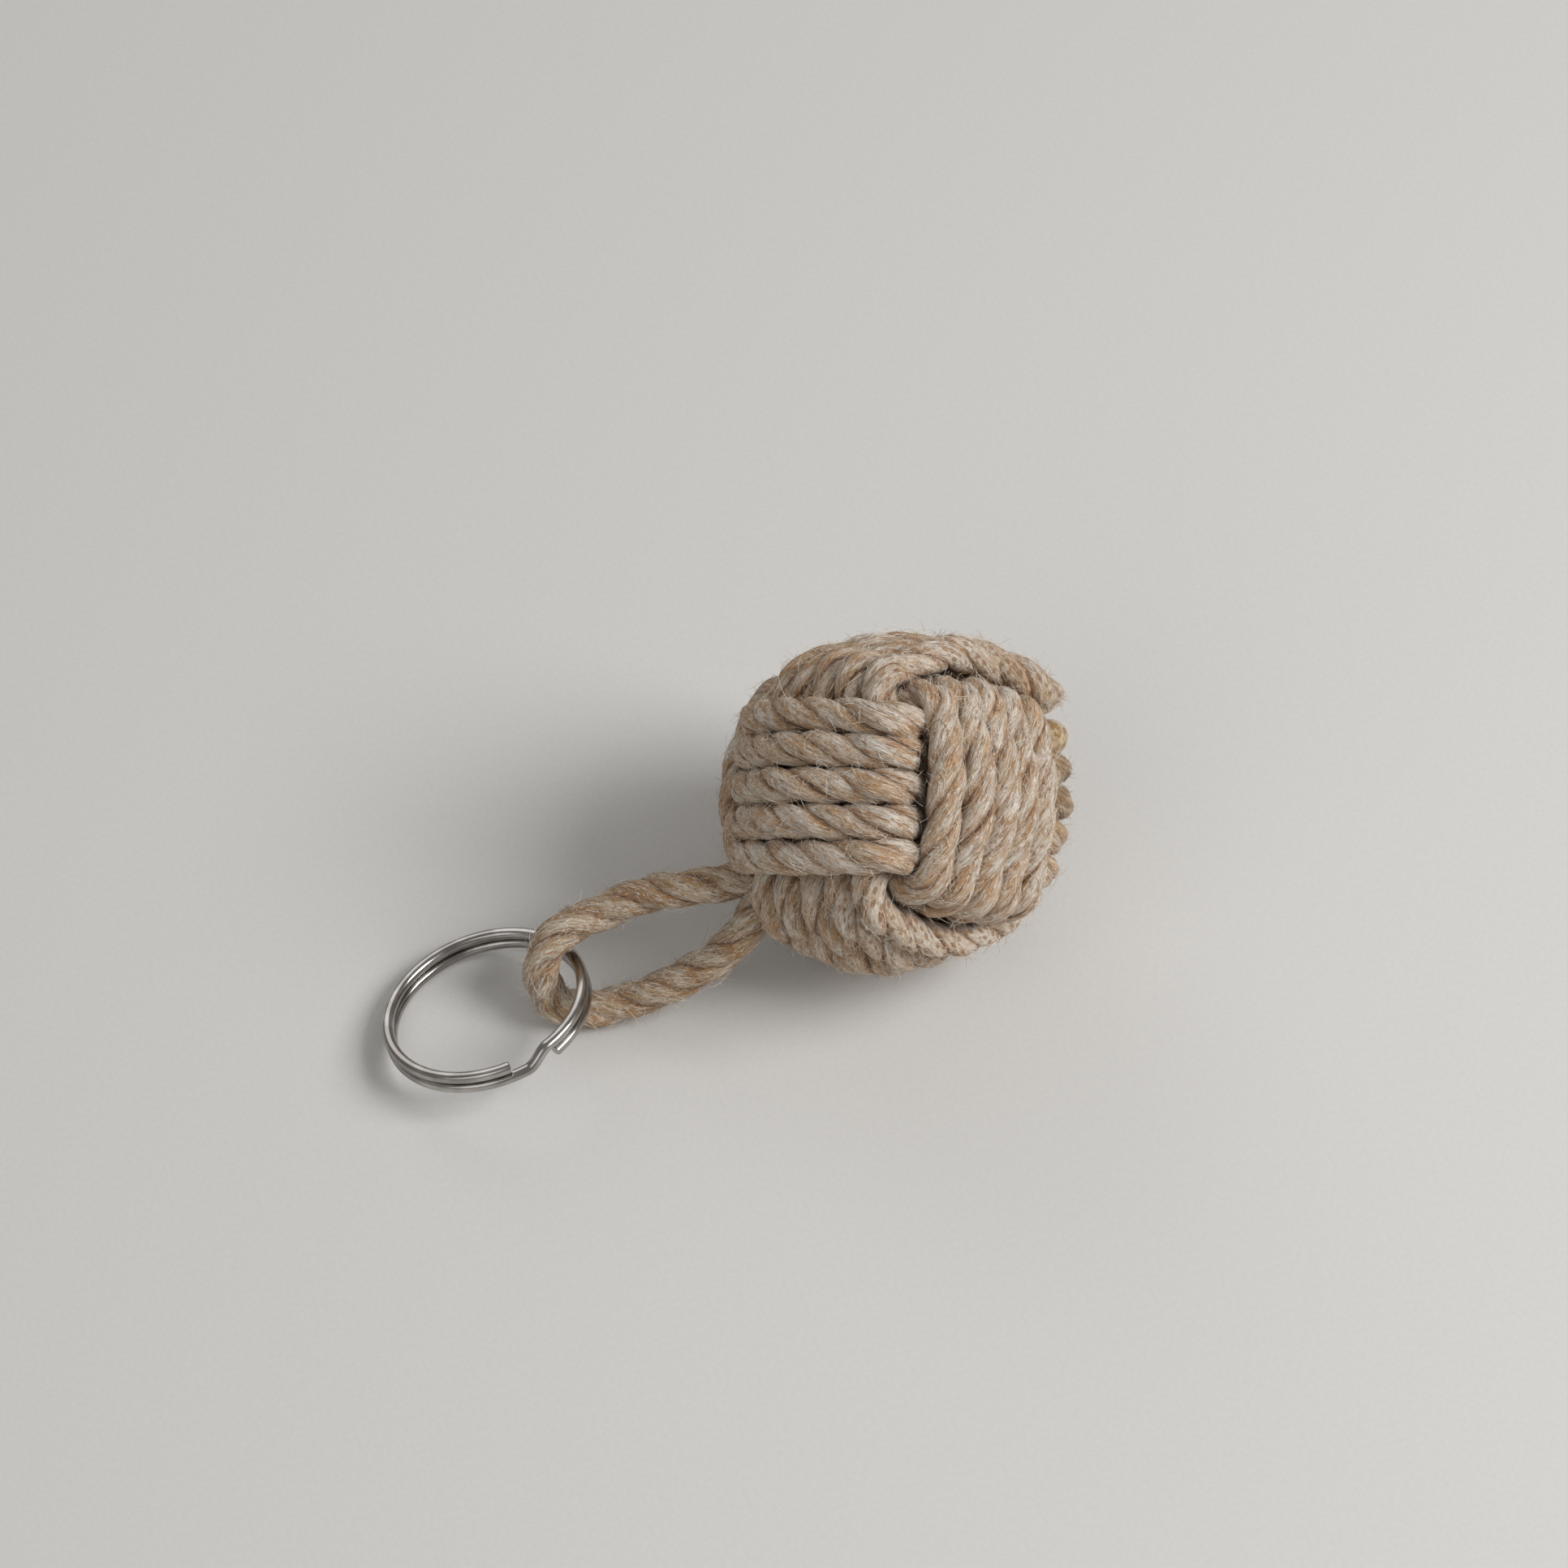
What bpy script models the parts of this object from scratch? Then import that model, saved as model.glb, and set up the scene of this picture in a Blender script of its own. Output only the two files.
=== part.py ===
"""Rope keychain: a monkey's fist tied round a wooden ball, with a rope eye and a split ring.

Metres, +Z up. The keychain lies on the plane Z = 0 with the ring towards -X, and the origin
is on that plane under the middle of the whole. The knot has axes of its own: FRONT, RIGHT
and TOP are the outward directions of three of its six faces.
"""
import math

import bmesh
import bpy
import numpy as np
from mathutils import Euler, Matrix, Vector

# The knot: three windings of five turns, each winding over one of the others and under the third
TURNS = 5
TURN_PITCH = 0.0047
TURN_DIAMETER = 0.00395
EDGE_HEIGHT = 0.0182
FACE_BULGE = 0.0015
CROSSING_HEIGHT = 0.0049
CORNER_EASE = 1.05
ROUNDING = 0.05
HALF_BAND = (TURNS - 1) / 2 * TURN_PITCH
POINTS_PAST_TAIL = 6

# The rope's end: where the last turn leaves its neighbours and lies over the top edge,
# as (towards RIGHT, away from FRONT, towards TOP)
TAIL_ROUTE = [(0.0092, -0.0031, 0.0184), (0.0092, 0.0031, 0.0186), (0.0098, 0.0076, 0.0183),
              (0.0116, 0.0120, 0.0174), (0.0138, 0.0138, 0.0154), (0.0158, 0.0140, 0.0140)]

# How the knot lies: where it stands, its turn as X, Y, Z angles, which brings one corner
# nearly straight down, and how deep the lowest turn is flattened
FIST_PLACE = (0.0226, 0.0)
FIST_TURN = Euler([math.radians(a) for a in (-44.7, -32.2, -51.4)])
REST_CUT = TURN_DIAMETER / 10

# The ball inside
CORE_RADIUS = 0.0121

# The glue over the end of the first winding
GLUE_GAP = 0.0003
GLUE_LENGTH = 0.0046
GLUE_SPREAD = math.radians(62)
GLUE_THICKNESS = 0.0010
GLUE_PLACE = math.radians(52)

# The eye: the rope's free loop, from the knot's corner round the ring's wire and back
ROPE_DIAMETER = 0.0050
EYE_ROUTE = [
    (-0.0060, -0.0004, 0.0170),
    (-0.0112, 0.0023, 0.0146),
    (-0.0149, 0.0030, 0.0131),
    (-0.0183, 0.0031, 0.0122),
    (-0.0218, 0.0027, 0.0119),
    (-0.0245, 0.0020, 0.0107),
    (-0.0263, 0.0009, 0.0084),
    (-0.0265, -0.0004, 0.0058),
    (-0.0260, -0.0019, 0.0040),
    (-0.0245, -0.0031, 0.0030),
    (-0.0211, -0.0044, 0.0027),
    (-0.0169, -0.0051, 0.0032),
    (-0.0122, -0.0062, 0.0052),
    (-0.0080, -0.0070, 0.0078),
    (-0.0045, -0.0075, 0.0104),
    (-0.0023, -0.0072, 0.0132),
]
EYE_POINTS = 42

# How the eye's legs go into the knot's corner: distance from the knot's centre, distances of
# the upper and the lower leg's middle from the corner's line, and the legs' thickness there
EXIT_STEPS = [
    (0.0231, 0.0012, 0.0012, 0.37),
    (0.0243, 0.0018, 0.0022, 0.60),
    (0.0260, 0.0027, 0.0036, 0.88),
]
FULL_THICKNESS_REACH = 0.0048

# The split ring: one wire of nearly two turns
RING_OUTER_DIAMETER = 0.028
WIRE_DIAMETER = 0.00138
COIL_GAP = 0.0003
RING_CENTRE = Vector((-0.0348, -0.0017, 0.0054))
RING_TILT_TOWARDS = math.radians(-50.3)
RING_TILT = math.radians(16.8)
UPPER_END = math.radians(-92.7)
LEAF_ARC = math.radians(95)
KINK_START = math.radians(-68.4)
KINK_END = math.radians(-84.1)
LOWER_END = math.radians(-65.2)
WIRE_STEP = math.radians(9)

# Where the wire passes under and over the rope of the eye, as angles round the ring
CROSSINGS = (math.radians(12), math.radians(-10))

RIGHT = Vector((1, 0, 0))
FRONT = Vector((0, -1, 0))
TOP = Vector((0, 0, 1))


def make_material(name, colour, roughness, metallic=0.0):
    material = bpy.data.materials.new(name)
    material.use_nodes = True
    shader = material.node_tree.nodes["Principled BSDF"]
    shader.inputs["Base Color"].default_value = (*colour, 1.0)
    shader.inputs["Roughness"].default_value = roughness
    shader.inputs["Metallic"].default_value = metallic
    return material


def make_pivot(name, location, rotation=Euler((0, 0, 0))):
    pivot = bpy.data.objects.new(name, None)
    pivot.location = location
    pivot.rotation_euler = rotation
    bpy.context.collection.objects.link(pivot)
    return pivot


def add_object(name, mesh, material, pivot, local=Matrix.Identity(4)):
    mesh.materials.clear()
    mesh.materials.append(material)
    piece = bpy.data.objects.new(name, mesh)
    bpy.context.collection.objects.link(piece)
    piece.parent = pivot
    piece.matrix_local = local
    return piece


def tube_mesh(points, diameter, resolution, scales=None):
    """A round tube with capped ends along points, as a mesh."""
    curve = bpy.data.curves.new("tube", "CURVE")
    curve.dimensions = "3D"
    curve.bevel_depth = diameter / 2
    curve.bevel_resolution = resolution
    curve.use_fill_caps = True
    curve.resolution_u = 1
    spline = curve.splines.new("POLY")
    spline.points.add(len(points) - 1)
    for index, point in enumerate(points):
        spline.points[index].co = (*point, 1.0)
        spline.points[index].radius = 1.0 if scales is None else scales[index]
    guide = bpy.data.objects.new("tube_guide", curve)
    bpy.context.collection.objects.link(guide)
    graph = bpy.context.evaluated_depsgraph_get()
    mesh = bpy.data.meshes.new_from_object(guide.evaluated_get(graph))
    bpy.data.objects.remove(guide)
    bpy.data.curves.remove(curve)
    merged = bmesh.new()
    merged.from_mesh(mesh)
    bmesh.ops.remove_doubles(merged, verts=merged.verts, dist=1e-6)
    bmesh.ops.recalc_face_normals(merged, faces=merged.faces)
    merged.to_mesh(mesh)
    merged.free()
    mesh.shade_smooth()
    mesh.set_sharp_from_angle(angle=math.radians(60))
    return mesh


def cut_flat(mesh, matrix, height):
    """Cuts off what the matrix puts below a height in the world, and closes the cut."""
    shape = bmesh.new()
    shape.from_mesh(mesh)
    back = matrix.inverted()
    place = back @ Vector((0, 0, height))
    normal = (back.to_3x3() @ Vector((0, 0, -1))).normalized()
    geometry = shape.verts[:] + shape.edges[:] + shape.faces[:]
    bmesh.ops.bisect_plane(
        shape, geom=geometry, plane_co=place, plane_no=normal, dist=1e-7, clear_outer=True
    )
    open_edges = [edge for edge in shape.edges if edge.is_boundary]
    if open_edges:
        bmesh.ops.holes_fill(shape, edges=open_edges, sides=0)
    bmesh.ops.recalc_face_normals(shape, faces=shape.faces)
    shape.to_mesh(mesh)
    shape.free()


def bulge(along, offset):
    """How much higher a face of the knot is here than at its outermost turns."""
    return FACE_BULGE * (1 - (along / HALF_BAND) ** 2) * (1 - (offset / HALF_BAND) ** 2)


def quarter_turn(offset):
    """A quarter of one turn, from under the winding that covers it up to its own face.

    Each point is (out, across): out is towards the face where the turn shows, and across is
    towards the face where it is covered.
    """
    under = EDGE_HEIGHT - CROSSING_HEIGHT
    ease = CROSSING_HEIGHT * CORNER_EASE / math.sqrt(2)
    inner = [(step, under + bulge(step, offset)) for step in (HALF_BAND / 3, HALF_BAND)]
    corner = [(under, HALF_BAND + CROSSING_HEIGHT), (under + ease, HALF_BAND + ease)]
    outer = [(EDGE_HEIGHT + bulge(step, offset), step) for step in (HALF_BAND, HALF_BAND / 3)]
    return inner + corner + outer


def round_off(point):
    """Draws the knot's edges and corners in, so that it is nearer to a ball than to a cube."""
    squareness = sum(c**4 for c in point) / point.length_squared**2
    return point * (1 - ROUNDING * (1 - squareness))


def winding_points(out, across, aside):
    """The middle line of five turns, which step aside under the face that across points to.

    It starts and ends under that face, at opposite edges of the band.
    """
    under = EDGE_HEIGHT - CROSSING_HEIGHT
    points = []
    for turn in range(TURNS):
        offset = (turn - (TURNS - 1) / 2) * TURN_PITCH
        quarter = quarter_turn(offset)
        front = [(u, v, offset) for u, v in quarter[1 if turn == 0 else 2:]]
        front += [(u, -v, offset) for u, v in reversed(quarter)]
        back = [(-u, -v, offset) for u, v in quarter]
        back += [(-u, v, offset) for u, v in reversed(quarter[1:])]
        points += front + back
        if turn < TURNS - 1:
            for step, share in ((-HALF_BAND / 3, 1 / 3), (HALF_BAND / 3, 2 / 3), (HALF_BAND, 1)):
                shifted = offset + share * TURN_PITCH
                points.append((step, under + bulge(step, shifted), shifted))
    return [round_off(u * out + v * across + w * aside) for u, v, w in points]


def with_tail(points):
    """Lets the last pass over the top go on to the rope's end instead of down the back."""
    return points[:-POINTS_PAST_TAIL] + [Vector(point) for point in TAIL_ROUTE]


def smooth_through(route, count):
    """Evenly spaced points of a smooth curve that passes through the route's points."""
    knots = np.array([tuple(point) for point in route])
    before = np.vstack([2 * knots[0] - knots[1], knots, 2 * knots[-1] - knots[-2]])
    samples = []
    for a, b, c, d in zip(before, before[1:], before[2:], before[3:]):
        for t in np.linspace(0, 1, 12, endpoint=False):
            samples.append(
                0.5 * (2 * b + (c - a) * t + (2 * a - 5 * b + 4 * c - d) * t**2
                       + (3 * b - a - 3 * c + d) * t**3)
            )
    samples = np.array(samples + [knots[-1]])
    lengths = np.concatenate([[0], np.cumsum(np.linalg.norm(np.diff(samples, axis=0), axis=1))])
    wanted = np.linspace(0, lengths[-1], count)
    even = np.column_stack([np.interp(wanted, lengths, samples[:, k]) for k in range(3)])
    return [Vector(point) for point in even], float(lengths[-1])


def along_tube(points, per_stretch=6):
    """Close points along a line of straight stretches, with how far along each one is."""
    line = np.array([tuple(point) for point in points])
    shares = np.linspace(0, 1, per_stretch, endpoint=False)[:, None]
    close = [a + (b - a) * shares for a, b in zip(line, line[1:])]
    close = np.concatenate(close + [line[-1:]])
    steps = np.linalg.norm(np.diff(close, axis=0), axis=1)
    return close, np.concatenate([[0], np.cumsum(steps)])


def gap_to_itself(points, diameter):
    """The least space between stretches of one tube that lie over two diameters apart on it."""
    close, far = along_tube(points)
    apart = np.linalg.norm(close[:, None] - close[None], axis=2)
    apart[np.abs(far[:, None] - far[None]) < 2.2 * diameter] = np.inf
    return float(apart.min()) - diameter


def gap_between(points, diameters, others, other_diameter):
    """The least space between a tube, whose diameter may change along it, and another."""
    one, _ = along_tube(points)
    two, _ = along_tube(others)
    thick = np.interp(np.arange(len(one)) / 6, np.arange(len(points)), diameters)
    apart = np.linalg.norm(one[:, None] - two[None], axis=2) - thick[:, None] / 2
    return float(apart.min()) - other_diameter / 2


def make_core(fist):
    shape = bmesh.new()
    bmesh.ops.create_uvsphere(shape, u_segments=24, v_segments=16, radius=CORE_RADIUS)
    mesh = bpy.data.meshes.new("core_ball")
    shape.to_mesh(mesh)
    shape.free()
    mesh.shade_smooth()
    return add_object("core_ball", mesh, make_material("beech", (0.45, 0.29, 0.15), 0.6), fist)


def make_windings(fist, matrix, lines):
    """The three windings, each cut flat where the knot rests."""
    for name, line in lines.items():
        print(f"{name}: least gap to itself {gap_to_itself(line, TURN_DIAMETER) * 1000:.2f} mm")
        mesh = tube_mesh(line, TURN_DIAMETER, 1)
        cut_flat(mesh, matrix, 0.0)
        add_object(name, mesh, make_material(f"hemp_{name}", (0.46, 0.34, 0.21), 0.9), fist)
    names = list(lines)
    for name, other in zip(names, names[1:] + names[:1]):
        thick = [TURN_DIAMETER] * len(lines[name])
        gap = gap_between(lines[name], thick, lines[other], TURN_DIAMETER)
        print(f"{name} to {other}: {gap * 1000:.2f} mm")


def make_glue(fist):
    """A lens of set glue over the top turn of the first winding, at the knot's far right."""
    under = EDGE_HEIGHT - CROSSING_HEIGHT
    hub = RIGHT * HALF_BAND - FRONT * under + TOP * HALF_BAND
    bend = CROSSING_HEIGHT
    rope_surface = TURN_DIAMETER / 2 + GLUE_GAP
    shape = bmesh.new()
    bmesh.ops.create_uvsphere(shape, u_segments=20, v_segments=12, radius=1.0)
    for vertex in shape.verts:
        side, rise, height = vertex.co
        along = GLUE_PLACE + side * GLUE_LENGTH / (2 * bend)
        around = rise * GLUE_SPREAD
        reach = rope_surface + GLUE_THICKNESS * (height + 1) / 2
        outwards = math.cos(along) * -FRONT + math.sin(along) * RIGHT
        vertex.co = hub + outwards * (bend + reach * math.cos(around))
        vertex.co += TOP * reach * math.sin(around)
    bmesh.ops.reverse_faces(shape, faces=shape.faces)
    mesh = bpy.data.meshes.new("glue_dab")
    shape.to_mesh(mesh)
    shape.free()
    mesh.shade_smooth()
    return add_object("glue_dab", mesh, make_material("set_glue", (0.60, 0.54, 0.38), 0.25), fist)


def make_eye(matrix):
    """The free loop of rope, thinner at its ends where the knot squeezes it."""
    corner = (FRONT - RIGHT - TOP).normalized()
    upper = (2 * TOP + FRONT - RIGHT).normalized()
    start = [matrix @ (corner * out + upper * side) for out, side, _, _ in EXIT_STEPS]
    finish = [matrix @ (corner * out - upper * side) for out, _, side, _ in EXIT_STEPS]
    line, length = smooth_through(start + EYE_ROUTE + finish[::-1], EYE_POINTS)
    step = length / (EYE_POINTS - 1)
    reaches = [out - EXIT_STEPS[0][0] for out, *_ in EXIT_STEPS] + [FULL_THICKNESS_REACH]
    thickness = [scale for *_, scale in EXIT_STEPS] + [1.0]
    scales = []
    for index in range(EYE_POINTS):
        from_end = min(index, EYE_POINTS - 1 - index) * step
        scales.append(float(np.interp(from_end, reaches, thickness)))
    hinge = (line[0] + line[-1]) / 2
    pivot = make_pivot("eye_pivot", hinge)
    mesh = tube_mesh([point - hinge for point in line], ROPE_DIAMETER, 3, scales)
    print(f"eye: {length * 1000:.1f} mm of rope, hinge at {tuple(round(c, 5) for c in hinge)}")
    print(f"eye: lowest middle {min(point.z for point in line) * 1000:.2f} mm")
    add_object("rope_loop", mesh, make_material("hemp_eye", (0.44, 0.31, 0.17), 0.9), pivot)
    return line, [ROPE_DIAMETER * scale for scale in scales]


def ring_matrix():
    """The ring's own axes: Z through its middle, X as near to the world's X as it can be."""
    away = Vector((math.cos(RING_TILT_TOWARDS), math.sin(RING_TILT_TOWARDS), 0))
    axis = (Vector((0, 0, 1)) * math.cos(RING_TILT) - away * math.sin(RING_TILT)).normalized()
    across = Vector((1, 0, 0)) - axis * axis.x
    across.normalize()
    matrix = Matrix((across, axis.cross(across), axis)).transposed().to_4x4()
    matrix.translation = RING_CENTRE
    return matrix


def wire_points(start, end):
    """The wire's middle line in the ring's axes, between two angles measured clockwise on."""
    radius = (RING_OUTER_DIAMETER - WIRE_DIAMETER) / 2
    level = (WIRE_DIAMETER + COIL_GAP) / 2
    count = max(2, round(abs(end - start) / WIRE_STEP) + 1)
    kink_from = KINK_START - 2 * math.pi
    kink_to = KINK_END - 2 * math.pi
    angles = sorted({*np.linspace(start, end, count), kink_from, (kink_from + kink_to) / 2, kink_to})
    points = []
    for angle in reversed(angles):
        if not end <= angle <= start:
            continue
        share = min(max((kink_from - angle) / (kink_from - kink_to), 0.0), 1.0)
        height = level * (1 - 2 * share)
        points.append(Vector((radius * math.cos(angle), radius * math.sin(angle), height)))
    return points


def make_ring(eye, thickness):
    """The split ring, hinged on the chord between the wire's two crossings of the eye."""
    matrix = ring_matrix()
    radius = (RING_OUTER_DIAMETER - WIRE_DIAMETER) / 2
    ends = [matrix @ Vector((radius * math.cos(a), radius * math.sin(a), 0)) for a in CROSSINGS]
    hinge = (ends[0] + ends[1]) / 2
    axis = (ends[0] - ends[1]).normalized()
    print(f"ring hinge at {tuple(round(c, 5) for c in hinge)}")
    print(f"ring hinge along {tuple(round(c, 4) for c in axis)}")
    steel = make_material("nickel_plated_steel", (0.62, 0.60, 0.58), 0.18, 1.0)
    leaf_root = UPPER_END - LEAF_ARC
    seam = COIL_GAP / (RING_OUTER_DIAMETER / 2)
    wire = wire_points(leaf_root - seam, LOWER_END - 4 * math.pi)
    leaf = wire_points(UPPER_END, leaf_root)
    world_wire = [matrix @ point for point in wire + leaf]
    print(f"ring: least gap to itself {gap_to_itself(wire, WIRE_DIAMETER) * 1000:.2f} mm")
    print(f"ring: lowest middle {min(point.z for point in world_wire) * 1000:.2f} mm")
    for name, points in (("wire", wire), ("leaf", leaf)):
        placed = [matrix @ point for point in points]
        print(f"{name} to eye: {gap_between(eye, thickness, placed, WIRE_DIAMETER) * 1000:.2f} mm")
    pivot = make_pivot("ring_pivot", hinge)
    local = matrix.copy()
    local.translation = RING_CENTRE - hinge
    add_object("split_ring", tube_mesh(wire, WIRE_DIAMETER, 2), steel, pivot, local)
    root = Vector((math.cos(leaf_root), math.sin(leaf_root), 0)) * radius
    leaf_pivot = make_pivot("leaf_pivot", matrix @ root, matrix.to_euler())
    leaf_mesh = tube_mesh([point - root for point in leaf], WIRE_DIAMETER, 2)
    leaf_steel = make_material("nickel_plated_steel_end", (0.62, 0.60, 0.58), 0.18, 1.0)
    add_object("ring_end", leaf_mesh, leaf_steel, leaf_pivot)
    outwards = matrix.to_3x3() @ root.normalized()
    print(f"leaf hinge at {tuple(round(c, 5) for c in matrix @ root)}")
    print(f"leaf hinge along {tuple(round(c, 4) for c in outwards)}")


def main():
    for old in list(bpy.data.objects):
        bpy.data.objects.remove(old)
    lines = {
        "first_winding": winding_points(FRONT, -RIGHT, TOP),
        "second_winding": winding_points(-RIGHT, -TOP, -FRONT),
        "third_winding": with_tail(winding_points(-TOP, -FRONT, RIGHT)),
    }
    turn = FIST_TURN.to_matrix()
    lowest = min((turn @ point).z for line in lines.values() for point in line)
    centre = Vector((*FIST_PLACE, TURN_DIAMETER / 2 - REST_CUT - lowest))
    fist = make_pivot("fist_pivot", centre, FIST_TURN)
    matrix = Matrix.LocRotScale(centre, FIST_TURN, None)
    make_core(fist)
    make_windings(fist, matrix, lines)
    make_glue(fist)
    eye, thickness = make_eye(matrix)
    for name, line in lines.items():
        placed = [matrix @ point for point in line]
        print(f"{name}: lowest middle {min(point.z for point in placed) * 1000:.2f} mm")
        gap = gap_between(eye, thickness, placed, TURN_DIAMETER)
        print(f"{name} to eye: {gap * 1000:.2f} mm")
    make_ring(eye, thickness)


main()
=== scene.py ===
"""Rope keychain: the rope, fibres, glue, wood and nickel of a monkey's fist on a split ring.

Everything is in metres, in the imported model's own place: the keychain lies on Z = 0, the ring
towards -X and the knot towards +X. The knot has axes of its own, FRONT, RIGHT and TOP.
"""
import math
from collections import namedtuple

import bmesh
import bpy
import numpy as np
from mathutils import Euler, Matrix, Vector
from mathutils.kdtree import KDTree


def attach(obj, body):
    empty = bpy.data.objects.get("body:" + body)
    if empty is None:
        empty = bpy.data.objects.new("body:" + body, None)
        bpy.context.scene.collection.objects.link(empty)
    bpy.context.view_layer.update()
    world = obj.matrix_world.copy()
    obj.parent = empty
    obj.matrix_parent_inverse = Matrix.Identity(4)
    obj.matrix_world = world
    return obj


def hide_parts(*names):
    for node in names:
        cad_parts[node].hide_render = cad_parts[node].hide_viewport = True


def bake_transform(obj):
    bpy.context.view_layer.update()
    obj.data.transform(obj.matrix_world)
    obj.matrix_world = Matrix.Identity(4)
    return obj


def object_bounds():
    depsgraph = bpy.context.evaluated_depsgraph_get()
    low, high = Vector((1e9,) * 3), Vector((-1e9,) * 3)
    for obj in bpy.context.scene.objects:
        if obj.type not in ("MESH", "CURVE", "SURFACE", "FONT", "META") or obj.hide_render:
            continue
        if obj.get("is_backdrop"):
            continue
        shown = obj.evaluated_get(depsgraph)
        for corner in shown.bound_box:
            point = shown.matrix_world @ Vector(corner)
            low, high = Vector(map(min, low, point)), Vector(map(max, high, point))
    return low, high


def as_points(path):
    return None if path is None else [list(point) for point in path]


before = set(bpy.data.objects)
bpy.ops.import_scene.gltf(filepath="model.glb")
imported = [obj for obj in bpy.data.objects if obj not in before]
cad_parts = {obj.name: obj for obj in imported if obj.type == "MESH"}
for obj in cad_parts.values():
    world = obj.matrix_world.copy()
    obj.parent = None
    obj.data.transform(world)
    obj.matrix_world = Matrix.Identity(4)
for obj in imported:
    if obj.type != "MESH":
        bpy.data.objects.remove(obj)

bl_info = {
    "name": "Rope keychain",
    "version": (1, 0, 0),
    "blender": (4, 5, 0),
    "location": "View3D > Sidebar > Keychain",
    "description": "Lays the rope, fibres, glue and split ring of a monkey's fist keychain",
    "category": "Object",
}

MODEL_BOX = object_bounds()

# The knot's place and turn, and its axes
KNOT_CENTRE = Vector((0.0226, 0.0, 0.02385))
KNOT_TURN = Euler([math.radians(a) for a in (-44.7, -32.2, -51.4)])
KNOT = Matrix.LocRotScale(KNOT_CENTRE, KNOT_TURN, None)
RIGHT = Vector((1, 0, 0))
FRONT = Vector((0, -1, 0))
TOP = Vector((0, 0, 1))

# The three windings, five turns each
TURNS = 5
TURN_PITCH = 0.00467
HALF_BAND = (TURNS - 1) / 2 * TURN_PITCH
# A turn's height over a face at the band's edge, how much higher it is in the middle, and the
# share of that which the outermost turns lose
EDGE_HEIGHT = 0.0173
FACE_BULGE = 0.00258
OUTER_TURN_LOSS = 0.42
# How much lower it passes under another winding, how round its corners are, and how far the
# knot is drawn in towards a ball
CROSSING_HEIGHT = 0.0047
CORNER_EASE = 1.05
ROUNDING = 0.064

# Where the hand-tied knot leaves the regular one: place, reach each way, and the shift there,
# all in the knot's axes
PUSHES = [
    ((-0.019, -0.009, 0), (0.0065, 0.01, 0.016), (-0.0015, 0, 0)),
    ((-0.014, -0.0165, 0), (0.005, 0.006, 0.015), (0.001, 0.0006, 0)),
    ((0.014, 0.0165, 0.0005), (0.0065, 0.0065, 0.008), (0.0017, 0.0017, 0)),
    ((-0.002, -0.005, -0.0195), (0.013, 0.012, 0.008), (0, 0, -0.002)),
    ((-0.01, -0.01, 0.0165), (0.008, 0.012, 0.008), (0.003, 0.0008, 0)),
    ((0.004, 0.004, 0.02), (0.016, 0.016, 0.007), (0, 0, -0.0009)),
    ((0.0165, 0.0115, 0.015), (0.0075, 0.008, 0.0065), (0, 0, -0.002)),
    ((0.02, 0.012, 0), (0.006, 0.012, 0.018), (0, -0.0019, 0)),
    ((0.014, -0.01, 0.015), (0.006, 0.006, 0.006), (0.0003, 0, -0.0016)),
    ((0.014, -0.01, -0.015), (0.006, 0.006, 0.006), (0, 0, 0.0012)),
    ((0.015, 0.002, -0.0145), (0.006, 0.008, 0.006), (0.0007, 0, -0.0009)),
    ((0.0093, 0, -0.0215), (0.004, 0.01, 0.005), (0, 0, 0.0007)),
    ((0.018, -0.01, 0), (0.005, 0.0045, 0.013), (0, -0.0007, 0)),
]

# The rope's end, over the top edge: the points of the last turn that it stands in for, its
# route in the knot's axes, and how far from its tip it starts and ends to sink in, where the
# painted shade between turns fades in
POINTS_PAST_TAIL = 6
TAIL_ROUTE = [(0.0096, -0.0029, 0.0181), (0.0096, 0.0028, 0.0184), (0.0106, 0.0069, 0.0177),
              (0.0127, 0.0100, 0.0162), (0.0146, 0.0122, 0.0142), (0.0160, 0.0132, 0.0127)]
FREE_END = (0.012, 0.024)

# The eye: the free rope between its two ways into the knot's corner
EYE_ROUTE = [
    (-0.0060, -0.0004, 0.0170), (-0.0112, 0.0023, 0.0146),
    (-0.0149, 0.0030, 0.0131), (-0.0183, 0.0031, 0.0122),
    (-0.0218, 0.0027, 0.0119), (-0.0245, 0.0020, 0.0107),
    (-0.0263, 0.0009, 0.0084), (-0.0265, -0.0004, 0.0058),
    (-0.0260, -0.0019, 0.0040), (-0.0245, -0.0031, 0.0030),
    (-0.0211, -0.0044, 0.0027), (-0.0169, -0.0051, 0.0032),
    (-0.0122, -0.0062, 0.0052), (-0.0080, -0.0070, 0.0078),
    (-0.0045, -0.0075, 0.0104), (-0.0015, -0.0074, 0.0130),
]
# The ways in, outwards: distance from the knot's centre, and how far the two legs lie to
# either side of the corner's line
LEG_STEPS = [(0.0180, 0.0008, 0.0010), (0.0205, 0.0012, 0.0018), (0.0232, 0.0017, 0.0030)]
# Two points of the eye, and how many steps apart its path's points are
BEND_START = 8
BEND_END = EYE_ROUTE[2]
PATH_STEP = 4

# A smooth line's points for each of its route's, and a direction that no rope sets out in
ROUTE_SAMPLES = 24
ODD_DIRECTION = (0.3, 0.5, 0.81)

# How unevenly the rope is laid: by how much, and over what length that changes. The first two
# are angles round the rope, of all its strands and of one, and the others are shares.
STRANDS = 3
ROPE_TWIST = (0.12, 0.018)
STRAND_TWIST = (0.09, 0.007)
STRAND_REACH = (0.07, 0.005)
STRAND_SWELL = (0.055, 0.0045)
STRAND_LUMPS = (0.02, 0.0012)
# How finely a strand is rounded, and how thick it still is at the rope's very end, as a share
STRAND_RESOLUTION = 4
LEAST_END = 0.35
# Each rope and strand has a place of its own in the pattern, so that no two are alike
ROPE_SHIFT = 1.9
STRAND_SHIFT = 0.37
STRAND_SIDE_SHIFT = 0.01
# The rope is kept this far off the floor
FLOOR_GAP = 0.00003

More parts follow.
